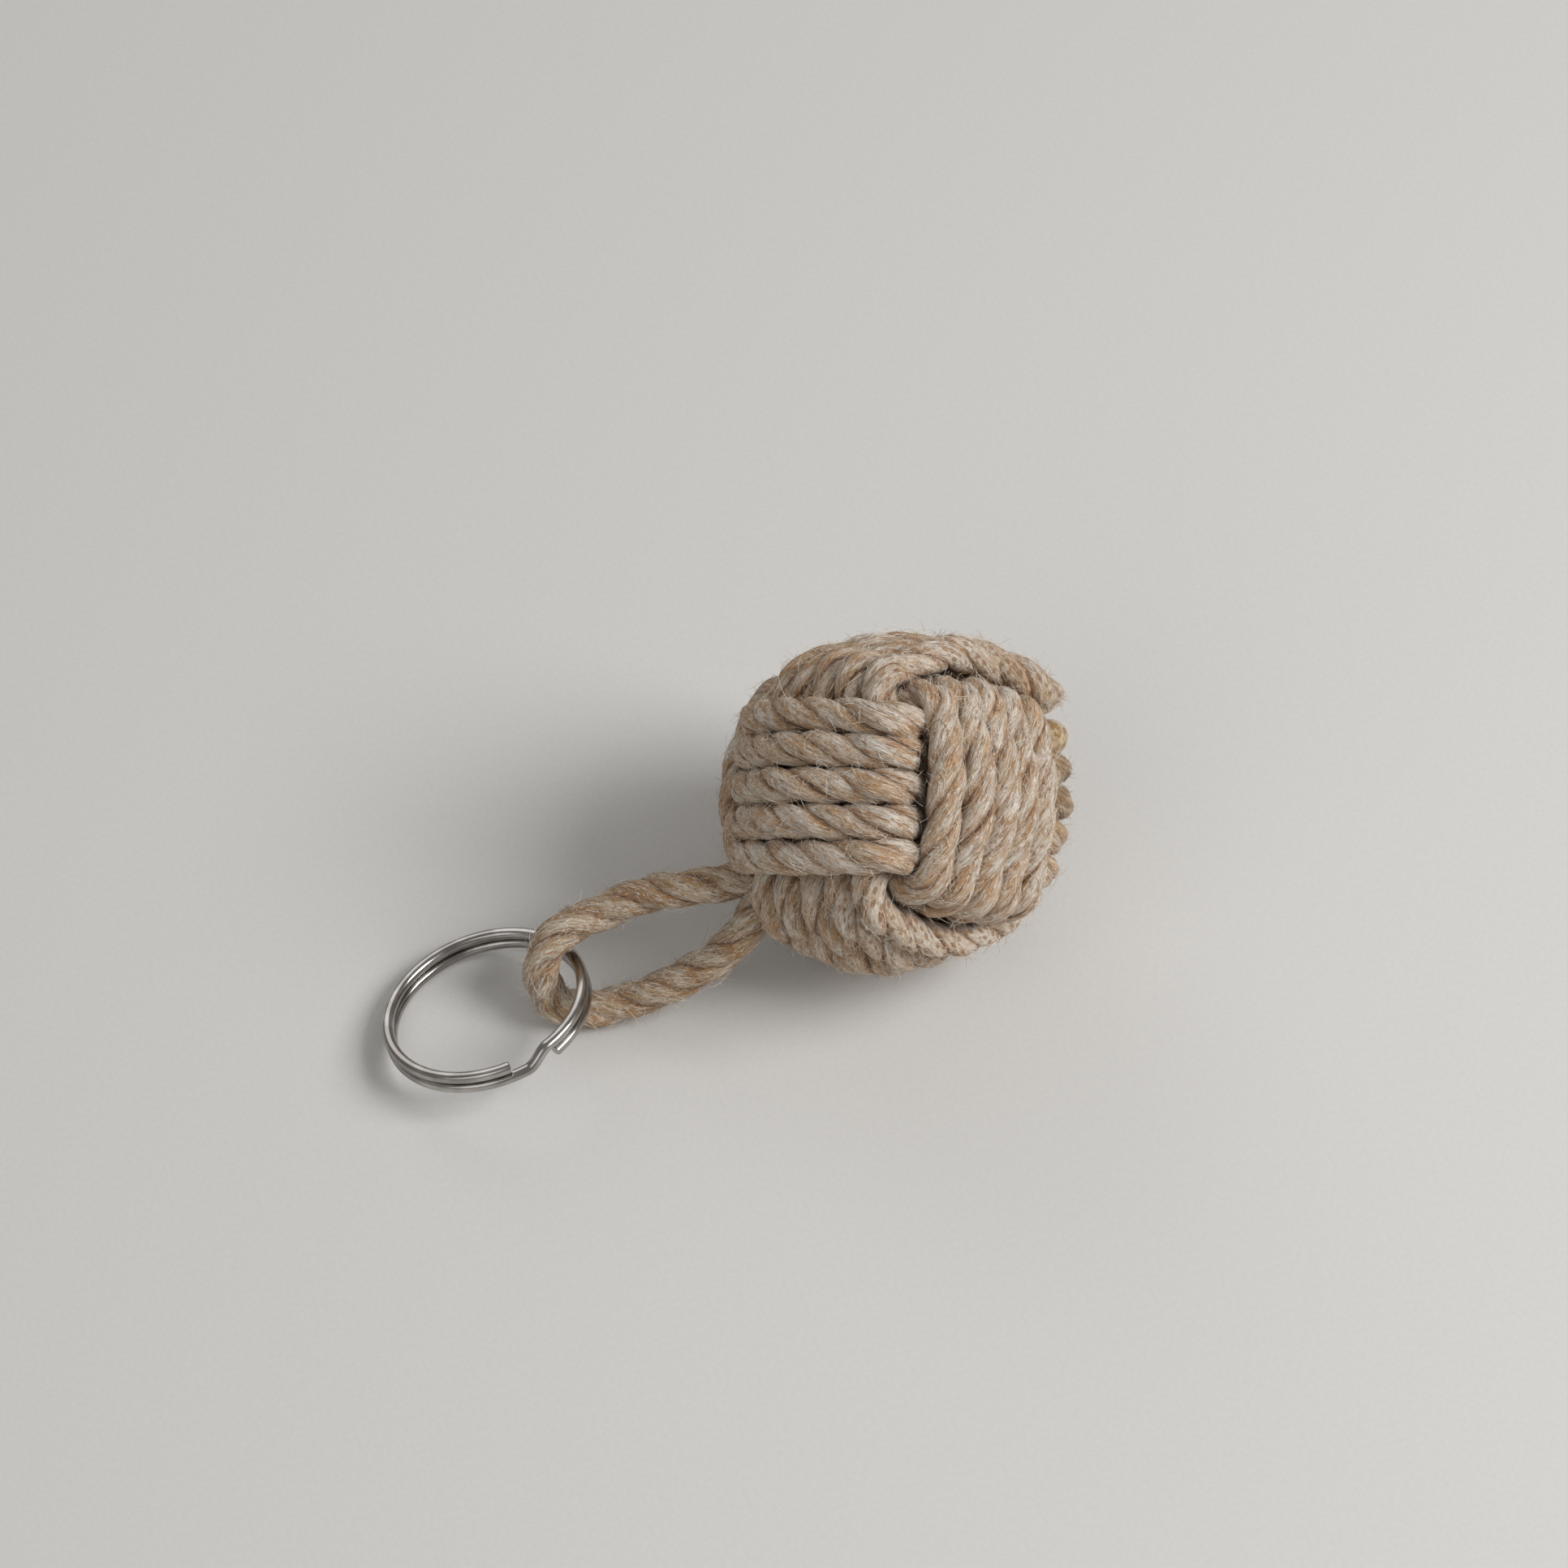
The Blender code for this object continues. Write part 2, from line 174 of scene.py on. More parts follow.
# How strong the brown marks are: by how far they lie to the right on the third winding, by
# height, fainter over the top than at the bottom, and on the other windings and the eye
MARKS_BY_RIGHT = ((0.0028, 0.0080), (0.35, 1.0))
MARKS_BY_HEIGHT = ((-0.010, 0.010), (1.0, 0.8))
MARKS_ELSEWHERE = 0.3
MARKS_ON_EYE = 0.2

# Loose fibres: how far out in its strand one starts, how its direction varies, its points, its
# shortest and longest length, what most have past the shortest, how steeply it rises, its curl
FibreKind = namedtuple("FibreKind", "start lean points lengths usual rises curl")
LYING = FibreKind(1.0, 0.5, 5, (0.0010, 0.0034), None, (0.02, 0.16), 0.8)
FUZZ = FibreKind(0.97, 0.7, 4, (0.0003, 0.0022), 0.0005, (0.3, 1.1), 0.8)
HAIR = FibreKind(0.97, 0.5, 7, (0.0022, 0.0062), None, (0.15, 0.7), 0.8)
TUFT = FibreKind(0.8, 0.15, 4, (0.0004, 0.0014), None, (0.1, 0.9), 0.4)
# How a lying fibre hugs its strand, how a fibre's thickness goes from root to tip and varies,
# and how near to the floor it may come
HUG = 16.0
TAPER = (1.0, 0.4)
THICKNESS_RANGE = (0.6, 1.2)
FIBRE_FLOOR_GAP = 0.0001
# Fibres grow on the knot from this far out, where the rope faces outwards, and on the eye from
# this far out, one for every three on a winding
SKIN_REACH = 0.0180
SKIN_FACING = 0.30
EYE_CLEAR = 0.0245
EYE_PART = 3

# Seeds of the random draws; the windings' own are 1, 2 and 3
EYE_SEED = 9
KNOT_FIBRES_SEED = 20
EYE_FIBRES_SEED = 30
GLUE_SEED = 5

# The split ring: one wire of nearly two turns
RING_CENTRE = Vector((-0.0348, -0.0017, 0.0054))
RING_TILT_TOWARDS = math.radians(-50.3)
RING_TILT = math.radians(16.8)
WIRE_LINE_RADIUS = 0.01331
COIL_RISE = 0.00084
UPPER_END = math.radians(-92.7)
LEAF_ARC = math.radians(95)
KINK_START = math.radians(-68.4 - 360)
KINK_END = math.radians(-84.1 - 360)
LOWER_END = math.radians(-65.2 - 720)
# The wire's mesh: points round it, how square its section is, from 1, round, to 0, the degrees
# between two rows of points, its thickness at a bevelled end, and the angle of a sharp edge
SECTION_POINTS = 20
SECTION_POWER = 0.82
ROW_DEGREES = 1.5
BEVEL_END = 0.84
SHARP_ANGLE = math.radians(35)
# This much of the wire from the free end's root
LEAF_BEND_ARC = math.radians(40)

# The glue: where it was dabbed, in the knot's axes, how much of the rope it covers, how far it
# stands out, and how far down it ran beside the rope
GLUE_PLACE = Vector((0.0150, 0.0155, 0.0093))
GLUE_LENGTH = 0.0085
GLUE_PROUD = 0.00035
GLUE_RUN = 0.0023
# Its ridges: thickness as a share of the blob's, how far down the run, how proud it stands
GLUE_RIDGES = [(1.0, 0.0, 1.0), (0.62, 0.5, 0.9), (0.36, 1.0, 0.7)]
# Its film over the rope, how thin it gets and how little it stands out at its tips, how far a
# thin ridge is lifted, its lumps, given as the rope's are, and how its balls are spaced, in the
# rope's steps, and melted together
GLUE_FILM = 0.0001
GLUE_LEAST = 0.4
GLUE_TIP = 0.02
RIDGE_LIFT = 0.55
GLUE_LUMPS = (0.06, 0.0018)
GLUE_STEP = 2
MELT_VOXEL = 0.00022
MELT_SMOOTHING = 6
# Where it soaked into the first winding, how far in full, and how far at all
SOAK_PLACE = Vector((0.0160, 0.0150, 0.0045))
SOAKED = (0.0054, 0.0144)

# The lamps: name, place, watts and width; they face the keychain's middle
LAMPS = [
    ("key", (0.66, -0.42, 0.70), 9.0, 0.55),
    ("fill", (-0.7, -0.45, 0.7), 1.8, 0.8),
    ("back", (-0.1, 0.8, 0.5), 0.9, 0.5),
]
LAMP_TARGET = Vector((0, 0, 0.02))
SKY_STRENGTH = 0.29
FLOOR_HALF_WIDTH = 1.5

# The camera, at the photograph's angle: where it stands, its X, Y, Z angles and focal length
CAMERA_PLACE = (-0.1446, -0.4176, 0.5619)
CAMERA_TURN = (40, 0, -20)
CAMERA_LENS = 122.6
NEAREST_SEEN = 0.01


def colour(code):
    """The linear colour of an sRGB hex code such as #C9B79C."""
    parts = [int(code[i:i + 2], 16) / 255 for i in (1, 3, 5)]
    linear = [p / 12.92 if p <= 0.04045 else ((p + 0.055) / 1.055) ** 2.4 for p in parts]
    return (*linear, 1.0)


def ease(share):
    """Turns an even change from 0 to 1 into one that starts and ends softly."""
    return share * share * (3 - 2 * share)


def add_node(tree, kind, inputs=(), output=0, **settings):
    """Adds one node and gives its output. An input, by name or number, is a plain value, a hex
    colour or another node's output."""
    node = tree.nodes.new(kind)
    for key, value in settings.items():
        setattr(node, key, value)
    for key, value in dict(inputs).items():
        if isinstance(value, bpy.types.NodeSocket):
            tree.links.new(value, node.inputs[key])
        elif isinstance(value, str):
            node.inputs[key].default_value = colour(value)
        else:
            node.inputs[key].default_value = value
    return node.outputs[output]


def new_material(name):
    material = bpy.data.materials.new(name)
    material.use_nodes = True
    return material, material.node_tree, material.node_tree.nodes["Principled BSDF"]


def finish_shader(tree, shader, links, values):
    """Links what varies over a surface, and sets what doesn't on the shader itself."""
    for key, socket in links.items():
        tree.links.new(socket, shader.inputs[key])
    for key, value in values.items():
        shader.inputs[key].default_value = value


def cover(tree, under, over, pattern, none, full, most=1.0):
    """Covers one colour with another, from none to full as the pattern's value says."""
    share = add_node(tree, "ShaderNodeMapRange", {
        "Value": pattern, "From Min": none, "From Max": full, "To Max": most,
    }, interpolation_type="SMOOTHSTEP")
    # a Mix node's colours are its inputs 6 and 7 and its output 2
    return add_node(tree, "ShaderNodeMix", {0: share, 6: under, 7: over}, 2, data_type="RGBA")


def streaks(tree, place, along, across, shift=0.0, detail=2.0, warp=0.0):
    """Noise whose features are along by across metres, drawn out along X."""
    drawn = add_node(tree, "ShaderNodeMapping", {
        "Vector": place, "Location": (shift, shift, 0),
        "Scale": (1 / along, 1 / across, 1 / across)})
    return add_node(tree, "ShaderNodeTexNoise", {
        "Vector": drawn, "Scale": 1.0, "Detail": detail, "Roughness": 0.6, "Distortion": warp})


# A Math node's setting: the first input times the second, plus the third
TIMES_PLUS = {"operation": "MULTIPLY_ADD"}


def hemp_material(name, pale, tan, brown, ochre):
    """Natural hemp, spun and laid in three strands: matt and woolly, pale fibres over straw
    and ochre ones and flecks of brown bark, with painted shade: an ochre band and a thin dark
    line in the crease where two strands meet, and dark brown deep between turns."""
    material, tree, shader = new_material(name)
    place = add_node(tree, "ShaderNodeAttribute", (), "Vector", attribute_name="strand_place")
    crest, marked, soaked, sunk = (
        add_node(tree, "ShaderNodeAttribute", (), "Fac", attribute_name=stored)
        for stored in ("crest", "marked", "soaked", "sunk"))
    # single fibres are 0.03 mm thick, and are drawn 0.15 mm wide so that they show
    threads = streaks(tree, place, 0.0010, 0.00015, 3.0, 2.0, 1.5)
    yarns = streaks(tree, place, 0.0026, 0.00046, 7.0, 3.0, 0.9)
    patches = streaks(tree, place, 0.0052, 0.0021, 19.0, 2.0, 0.6)
    stains = streaks(tree, place, 0.0019, 0.0009, 41.0, 3.0, 0.8)
    flecks = streaks(tree, place, 0.0011, 0.00038, 53.0, 1.0)
    # the brown marks lie in rows, 1.2 mm apart, and the yarns' relief makes them ragged
    grid = add_node(tree, "ShaderNodeMapping", {
        "Vector": place, "Scale": (1 / 0.0012, 1 / 0.00095, 1 / 0.00095)})
    marks = add_node(tree, "ShaderNodeTexVoronoi", {
        "Vector": grid, "Scale": 1.0, "Randomness": 0.65})
    marks = add_node(tree, "ShaderNodeMath", {0: yarns, 1: 0.5, 2: marks}, **TIMES_PLUS)
    spots = cover(tree, "#000000", "#FFFFFF", marks, 0.70, 0.50)
    spots = add_node(tree, "ShaderNodeMath", {0: spots, 1: marked}, operation="MULTIPLY")
    body = cover(tree, tan, pale, patches, 0.36, 0.64)
    body = cover(tree, body, ochre, stains, 0.53, 0.65, 0.7)
    body = cover(tree, body, brown, yarns, 0.50, 0.30, 0.75)
    body = cover(tree, body, brown, threads, 0.48, 0.28, 0.7)
    body = cover(tree, body, "#FAF5EE", threads, 0.52, 0.68, 0.9)
    body = cover(tree, body, pale, marked, 0.5, 1.0, 0.4)
    body = cover(tree, body, "#9C6833", spots, 0.0, 1.0, 0.72)
    body = cover(tree, body, "#5C4330", flecks, 0.66, 0.74, 0.7)
    # painted shade along the crease between two strands, an ochre band and then a thin dark
    # line; fibres cross the crease, and hide it in places
    frayed = add_node(tree, "ShaderNodeMath", {0: threads, 1: 0.22, 2: crest}, **TIMES_PLUS)
    frayed = add_node(tree, "ShaderNodeMath", {0: patches, 1: 0.30, 2: frayed}, **TIMES_PLUS)
    body = cover(tree, body, ochre, frayed, 1.20, 1.06, 0.55)
    body = cover(tree, body, "#4A301C", frayed, 1.12, 1.01, 0.85)
    # painted shade between turns, darker brown the deeper a point lies
    body = cover(tree, body, "#573A22", sunk, 0.75, 1.2, 0.8)
    body = cover(tree, body, "#B3956A", soaked, 0.2, 1.0, 0.5)
    amber = add_node(tree, "ShaderNodeMath", {0: stains, 1: soaked}, operation="MULTIPLY")
    body = cover(tree, body, "#80591F", amber, 0.38, 0.58, 0.8)
    gloss = add_node(tree, "ShaderNodeMapRange", {
        "Value": soaked, "From Min": 0.2, "From Max": 1.0, "To Min": 0.9, "To Max": 0.35})
    relief = add_node(tree, "ShaderNodeMath", {0: yarns, 1: 1.8, 2: threads}, **TIMES_PLUS)
    relief = add_node(tree, "ShaderNodeMath", {0: spots, 1: -0.4, 2: relief}, **TIMES_PLUS)
    bump = add_node(tree, "ShaderNodeBump", {"Height": relief, "Distance": 0.00032})
    finish_shader(tree, shader, {"Base Color": body, "Roughness": gloss, "Normal": bump},
                  {"Specular IOR Level": 0.25, "Sheen Weight": 0.25, "Sheen Roughness": 0.6})
    return material


def fibre_material():
    """Loose hemp fibres: fine straw-coloured hairs, paler than the rope, that catch the light."""
    material, tree, shader = new_material("loose_hemp_fibre")
    place = add_node(tree, "ShaderNodeTexCoord", (), "Object")
    # straw-coloured and pale lengths of 2.4 mm
    patches = add_node(tree, "ShaderNodeTexNoise", {"Vector": place, "Scale": 420.0})
    body = cover(tree, "#B79A74", "#EBE1D1", patches, 0.38, 0.58)
    finish_shader(tree, shader, {"Base Color": body},
                  {"Roughness": 0.6, "Specular IOR Level": 0.35})
    return material


def glue_material():
    """Clear craft glue, set: yellowed, glossy, slightly cloudy, with small bubbles."""
    material, tree, shader = new_material("set_craft_glue")
    place = add_node(tree, "ShaderNodeTexCoord", (), "Object")
    # clouds 1.4 mm across and bubbles 0.9 mm apart
    cloud = add_node(tree, "ShaderNodeTexNoise", {"Vector": place, "Scale": 700.0})
    bubbles = add_node(tree, "ShaderNodeTexVoronoi", {"Vector": place, "Scale": 1100.0})
    body = cover(tree, "#A07D4C", "#C9B697", cloud, 0.40, 0.60)
    body = cover(tree, body, "#7A5222", bubbles, 0.28, 0.12, 0.75)
    bump = add_node(tree, "ShaderNodeBump", {
        "Height": cloud, "Strength": 0.5, "Distance": 0.0002})
    finish_shader(tree, shader, {"Base Color": body, "Normal": bump}, {
        "Roughness": 0.16, "IOR": 1.47, "Transmission Weight": 0.2,
        "Subsurface Weight": 0.3, "Subsurface Scale": 0.001})
    return material


def nickel_material():
    """Nickel-plated spring steel, barrel polished: mirror bright, with a faint warm cast and
    fine rubbing marks."""
    material, tree, shader = new_material("nickel_plated_spring_steel")
    place = add_node(tree, "ShaderNodeTexCoord", (), "Object")
    # a film of handling 4 mm across, and scuffs of 0.2 mm, coarser than real ones, to show
    film = add_node(tree, "ShaderNodeTexNoise", {"Vector": place, "Scale": 260.0})
    scuffs = add_node(tree, "ShaderNodeTexNoise", {"Vector": place, "Scale": 5200.0})
    body = cover(tree, "#9F9A95", "#C0BCB8", film, 0.35, 0.7)
    polish = add_node(tree, "ShaderNodeMapRange", {
        "Value": film, "From Min": 0.35, "From Max": 0.7, "To Min": 0.18, "To Max": 0.25})
    bump = add_node(tree, "ShaderNodeBump", {
        "Height": scuffs, "Strength": 0.04, "Distance": 0.00004})
    finish_shader(tree, shader, {"Base Color": body, "Roughness": polish, "Normal": bump},
                  {"Metallic": 1.0})
    return material


def beech_material():
    """Turned beech, sanded and left raw: pale, with short dark flecks along the grain."""
    material, tree, shader = new_material("turned_beech")
    place = add_node(tree, "ShaderNodeTexCoord", (), "Object")
    # grain 1.4 mm wide, and flecks 2 mm long and 0.3 mm wide
    body = cover(tree, "#B98A5A", "#D9B384", streaks(tree, place, 0.008, 0.0014), 0.3, 0.7)
    body = cover(tree, body, "#8A5C36", streaks(tree, place, 0.002, 0.0003), 0.62, 0.70)
    finish_shader(tree, shader, {"Base Color": body}, {"Roughness": 0.6})
    return material


def paper_material(pale):
    """A plain sheet of matt studio paper."""
    material, tree, shader = new_material("studio_paper")
    place = add_node(tree, "ShaderNodeTexCoord", (), "Object")
    # a tooth of 0.7 mm
    tooth = add_node(tree, "ShaderNodeTexNoise", {"Vector": place, "Scale": 1500.0})
    body = cover(tree, pale, "#D6D4D1", tooth, 0.3, 0.7)
    finish_shader(tree, shader, {"Base Color": body}, {"Roughness": 0.9})
    return material


def bulge(along, offset):
    """How much higher a face of the knot is here than along its edges."""
    return FACE_BULGE * (1 - (along / HALF_BAND) ** 2) * (
        1 - OUTER_TURN_LOSS * (offset / HALF_BAND) ** 2)


def quarter_turn(offset):
    """A quarter of one turn, from under the winding that covers it up to its own face."""
    under = EDGE_HEIGHT - CROSSING_HEIGHT
    slant = CROSSING_HEIGHT * CORNER_EASE / math.sqrt(2)
    inner = [(step, under + bulge(step, offset)) for step in (HALF_BAND / 3, HALF_BAND)]
    corner = [(under, HALF_BAND + CROSSING_HEIGHT), (under + slant, HALF_BAND + slant)]
    outer = [(EDGE_HEIGHT + bulge(step, offset), step) for step in (HALF_BAND, HALF_BAND / 3)]
    return inner + corner + outer


def round_off(point):
    """Draws the knot's edges and corners in, so that it is nearer to a ball than to a cube."""
    squareness = sum(c**4 for c in point) / point.length_squared**2
    return point * (1 - ROUNDING * (1 - squareness))


def push(point):
    """Shifts a point of the knot as the hand that tied it did."""
    moved = Vector(point)
    for place, reach, shift in PUSHES:
        away = sum(((a - b) / c) ** 2 for a, b, c in zip(point, place, reach))
        moved += Vector(shift) * math.exp(-away)
    return moved


def winding_route(out, across, aside):
    """The middle line of five turns, which step aside under the face that across points to."""
    under = EDGE_HEIGHT - CROSSING_HEIGHT
    points = []
    for turn in range(TURNS):
        offset = (turn - (TURNS - 1) / 2) * TURN_PITCH
        quarter = quarter_turn(offset)
        points += [(u, v, offset) for u, v in quarter[1 if turn == 0 else 2:]]
        points += [(u, -v, offset) for u, v in reversed(quarter)]
        points += [(-u, -v, offset) for u, v in quarter]
        points += [(-u, v, offset) for u, v in reversed(quarter[1:])]
        if turn < TURNS - 1:
            for step, share in ((-HALF_BAND / 3, 1 / 3), (HALF_BAND / 3, 2 / 3), (HALF_BAND, 1)):
                shifted = offset + share * TURN_PITCH
                points.append((step, under + bulge(step, shifted), shifted))
    return [push(round_off(u * out + v * across + w * aside)) for u, v, w in points]


def winding_routes():
    """The three windings' routes in the knot's axes; the third runs on into the rope's end."""
    third = winding_route(-TOP, -FRONT, RIGHT)[:-POINTS_PAST_TAIL]
    return {
        "first_winding": winding_route(FRONT, -RIGHT, TOP),
        "second_winding": winding_route(-RIGHT, -TOP, -FRONT),
        "third_winding": third + [Vector(point) for point in TAIL_ROUTE],
    }


def eye_route():
    """The eye's whole route, from deep in the knot's corner round the ring and back."""
    corner = (FRONT - RIGHT - TOP).normalized()
    upper = (2 * TOP + FRONT - RIGHT).normalized()
    start = [KNOT @ (corner * out + upper * side) for out, side, _ in LEG_STEPS]
    finish = [KNOT @ (corner * out - upper * side) for out, _, side in reversed(LEG_STEPS)]
    return start + [Vector(point) for point in EYE_ROUTE] + finish


def smooth_line(route, step):
    """Evenly spaced points of a smooth curve through a route's points."""
    knots = np.array([tuple(point) for point in route])
    whole = np.vstack([2 * knots[0] - knots[1], knots, 2 * knots[-1] - knots[-2]])
    a, b, c, d = (whole[i:len(whole) - 3 + i, None] for i in range(4))
    t = np.linspace(0, 1, ROUTE_SAMPLES, endpoint=False)[None, :, None]
    curve = 0.5 * (2 * b + (c - a) * t + (2 * a - 5 * b + 4 * c - d) * t**2
                   + (3 * b - a - 3 * c + d) * t**3)
    curve = np.vstack([curve.reshape(-1, 3), knots[-1:]])
    far = lengths_along(curve)
    wanted = np.linspace(0, far[-1], max(2, round(far[-1] / step) + 1))
    return np.column_stack([np.interp(wanted, far, curve[:, k]) for k in range(3)])


def lengths_along(line):
    steps = np.linalg.norm(np.diff(line, axis=0), axis=1)
    return np.concatenate([[0], np.cumsum(steps)])


def directions(line):
    """Along the line, and two directions across it that turn as little as they can."""
    along = np.gradient(line, axis=0)
    along /= np.linalg.norm(along, axis=1, keepdims=True)
    across = np.zeros_like(line)
    first = np.cross(along[0], ODD_DIRECTION)
    across[0] = first / np.linalg.norm(first)
    for i in range(1, len(line)):
        turned = across[i - 1] - along[i] * (across[i - 1] @ along[i])
        across[i] = turned / np.linalg.norm(turned)
    return along, across, np.cross(along, across)


def wander(rng, far, unevenness):
    """A smooth random number for each point, of up to the amount given first either way, that
    changes over the length given second."""
    amount, spacing = unevenness
    values = rng.uniform(-1, 1, int(far[-1] / spacing) + 4)
    place = far / spacing + 1
    index = place.astype(int)
    t = ease(place - index)
    return amount * (values[index - 1] * (1 - t) + values[index] * t)


def lay_strands(line, size, seed, swell=1.0):
    """Three strands twisted together round a line: for each its middle line, thickness as a
    share of the usual one, and the directions across the rope there."""
    rng = np.random.default_rng(seed)
    far = lengths_along(line)
    _, across, beside = directions(line)
    start = rng.uniform(0, 2 * math.pi)
    twist = wander(rng, far, ROPE_TWIST)
    strands = []
    for number in range(STRANDS):
        turn = start + twist + 2 * math.pi * (far / size.lay + number / STRANDS)
        turn = turn + wander(rng, far, STRAND_TWIST)
        reach = size.diameter * size.strand_reach * (1 + wander(rng, far, STRAND_REACH)) * swell
        out = np.cos(turn)[:, None] * across + np.sin(turn)[:, None] * beside
        middle = line + out * reach[:, None]
        thick = 1 + wander(rng, far, STRAND_SWELL) + wander(rng, far, STRAND_LUMPS)
        strands.append((middle, thick * swell, across, beside))
    return strands


def winding_ropes(size):
    """For each winding its node, seed, middle line and strands."""
    for seed, (node, route) in enumerate(winding_routes().items(), 1):
        line = smooth_line([KNOT @ point for point in route], size.step)
        yield node, seed, line, lay_strands(line, size, seed)


def eye_rope(size):
    """The eye's middle line and strands."""
    line = smooth_line(eye_route(), size.step)
    return line, lay_strands(line, size, EYE_SEED, size.eye_swell)


def tubes_to_mesh(name, lines, thicknesses, radius, resolution):
    """One mesh of closed round tubes, a tube for each line."""
    curve = bpy.data.curves.new(name, "CURVE")
    curve.dimensions = "3D"
    curve.bevel_depth = radius
    curve.bevel_resolution = resolution
    curve.use_fill_caps = True
    for line, thickness in zip(lines, thicknesses):
        spline = curve.splines.new("POLY")
        spline.points.add(len(line) - 1)
        spline.points.foreach_set("co", np.column_stack([line, np.ones(len(line))]).ravel())
        spline.points.foreach_set("radius", np.asarray(thickness, float))
    return mesh_of_curve(name, curve)


def link_object(name, data):
    linked = bpy.data.objects.new(name, data)
    bpy.context.collection.objects.link(linked)
    return linked


def finished_mesh(guide):
    """The mesh that an object makes with its thickness and modifiers, which takes its place."""
    graph = bpy.context.evaluated_depsgraph_get()
    mesh = bpy.data.meshes.new_from_object(guide.evaluated_get(graph))
    bpy.data.objects.remove(guide)
    return mesh


def mesh_of_curve(name, curve):
    """Turns a curve with a thickness into a closed mesh with its faces outwards."""
    mesh = finished_mesh(link_object(name, curve))
    bpy.data.curves.remove(curve)
    merged = bmesh.new()
    merged.from_mesh(mesh)
    bmesh.ops.remove_doubles(merged, verts=merged.verts, dist=1e-7)
    bmesh.ops.recalc_face_normals(merged, faces=merged.faces)
    merged.to_mesh(mesh)
    merged.free()
    mesh.name = name
    mesh.shade_smooth()
    return mesh


def make_object(name, mesh, material):
    mesh.materials.clear()
    mesh.materials.append(material)
    return link_object(name, mesh)


def vertex_places(mesh):
    places = np.empty(len(mesh.vertices) * 3)
    mesh.vertices.foreach_get("co", places)
    return places.reshape(-1, 3)


def store(mesh, name, values):
    """Stores a number or a vector for each point, for the material to read."""
    kind, key = ("FLOAT", "value") if values.ndim == 1 else ("FLOAT_VECTOR", "vector")
    attribute = mesh.attributes.new(name, kind, "POINT")
    attribute.data.foreach_set(key, np.ascontiguousarray(values, np.float32).ravel())


def nearest_steps(line, places):
    """For each place the number of the line's nearest point."""
    tree = KDTree(len(line))
    for index, point in enumerate(line):
        tree.insert(point, index)
    tree.balance()
    return np.array([tree.find(place)[1] for place in places])


def mark_strand(mesh, line, strand, number, size, seed):
    """Stores where each point lies in its strand, for the fibres to follow, and how far out in
    the rope it is, for the painted shade in the creases between strands."""
    middle, thick, across, beside = strand
    places = vertex_places(mesh)
    step = nearest_steps(middle, places)
    far = lengths_along(line)[step]
    away = places - middle[step]
    y, z = (away * across[step]).sum(1), (away * beside[step]).sum(1)
    spin = -2 * math.pi * far / size.fibre_lay
    store(mesh, "strand_place", np.column_stack([
        far + STRAND_SHIFT * number + ROPE_SHIFT * seed,
        y * np.cos(spin) - z * np.sin(spin) + STRAND_SIDE_SHIFT * number,
        y * np.sin(spin) + z * np.cos(spin),
    ]))
    crest = np.linalg.norm(places - line[step], axis=1) / (size.diameter / 2 * thick[step])
    at_end = np.minimum(far, lengths_along(line)[-1] - far) < size.end_round
    store(mesh, "crest", np.where(at_end, 1.0, crest))


def out_of_knot(places):
    """The direction from the knot's centre to each place."""
    away = places - np.array(KNOT_CENTRE)
    return away / np.linalg.norm(away, axis=1, keepdims=True)


def sunk_between_turns(places, line, size, free_end):
    """How deep each point lies between its turn and the next, for the painted shade there: 0 on
    top, 1 level with the rope's middle. A free end lies beside nothing, and gets no shade."""
    step = nearest_steps(line, places)
    away = places - line[step]
    depth = np.clip(1 - (away * out_of_knot(places)).sum(1) / (size.diameter / 2), 0, 2)
    from_end = lengths_along(line)[-1] - lengths_along(line)[step]
    return depth * np.interp(from_end, FREE_END, (0, 1)) if free_end else depth


def soaked_with_glue(places, node):
    """How much glue the rope took up, from 0 to 1. Only the first winding took any."""
    far = np.linalg.norm(places - np.array(KNOT @ SOAK_PLACE), axis=1)
    return np.interp(far, SOAKED, (1, 0)) * (node == "first_winding")


def brown_marks(places, node):
    """How strong the brown marks are on a winding, from 0 to 1."""
    away = places - np.array(KNOT_CENTRE)
    right, top = (away @ np.array(KNOT.to_3x3() @ way) for way in (RIGHT, TOP))
    strength = np.interp(right, *MARKS_BY_RIGHT)
    if node != "third_winding":
        strength = MARKS_ELSEWHERE
    return strength * np.interp(top, *MARKS_BY_HEIGHT)


def lay_rope(name, line, strands, size, seed, material):
    """A rope of three strands along a line, as one object."""
    far = lengths_along(line)
    from_end = np.clip(np.minimum(far, far[-1] - far) / size.end_round, 0, 1)
    ends = np.maximum(np.sqrt(1 - (1 - from_end) ** 2), LEAST_END)
    whole = bmesh.new()
    for number, strand in enumerate(strands):
        middle, thick, _, _ = strand
        mesh = tubes_to_mesh(name, [middle], [thick * ends],
                             size.diameter * size.strand_radius, STRAND_RESOLUTION)
        mark_strand(mesh, line, strand, number, size, seed)
        whole.from_mesh(mesh)
        bpy.data.meshes.remove(mesh)
    mesh = bpy.data.meshes.new(name)
    whole.to_mesh(mesh)
    whole.free()
    mesh.shade_smooth()
    return make_object(name, mesh, material)


def press_on_floor(mesh):
    """Flattens what would reach under the floor, as the weight on it does."""
    for vertex in mesh.vertices:
        vertex.co.z = max(vertex.co.z, FLOOR_GAP)


def grow(base, out, way, length, curl, drop, count):
    """One fibre as a line of points, which curls aside and follows the rope's roundness."""
    t = np.linspace(0, 1, count)[:, None]
    side = np.cross(way, out)
    side /= np.linalg.norm(side) + 1e-9
    line = base + length * t * way - out * drop * (length * t) ** 2
    return line + length * curl * (side * t**2 + 0.3 * out * np.sin(3 * t) * t)


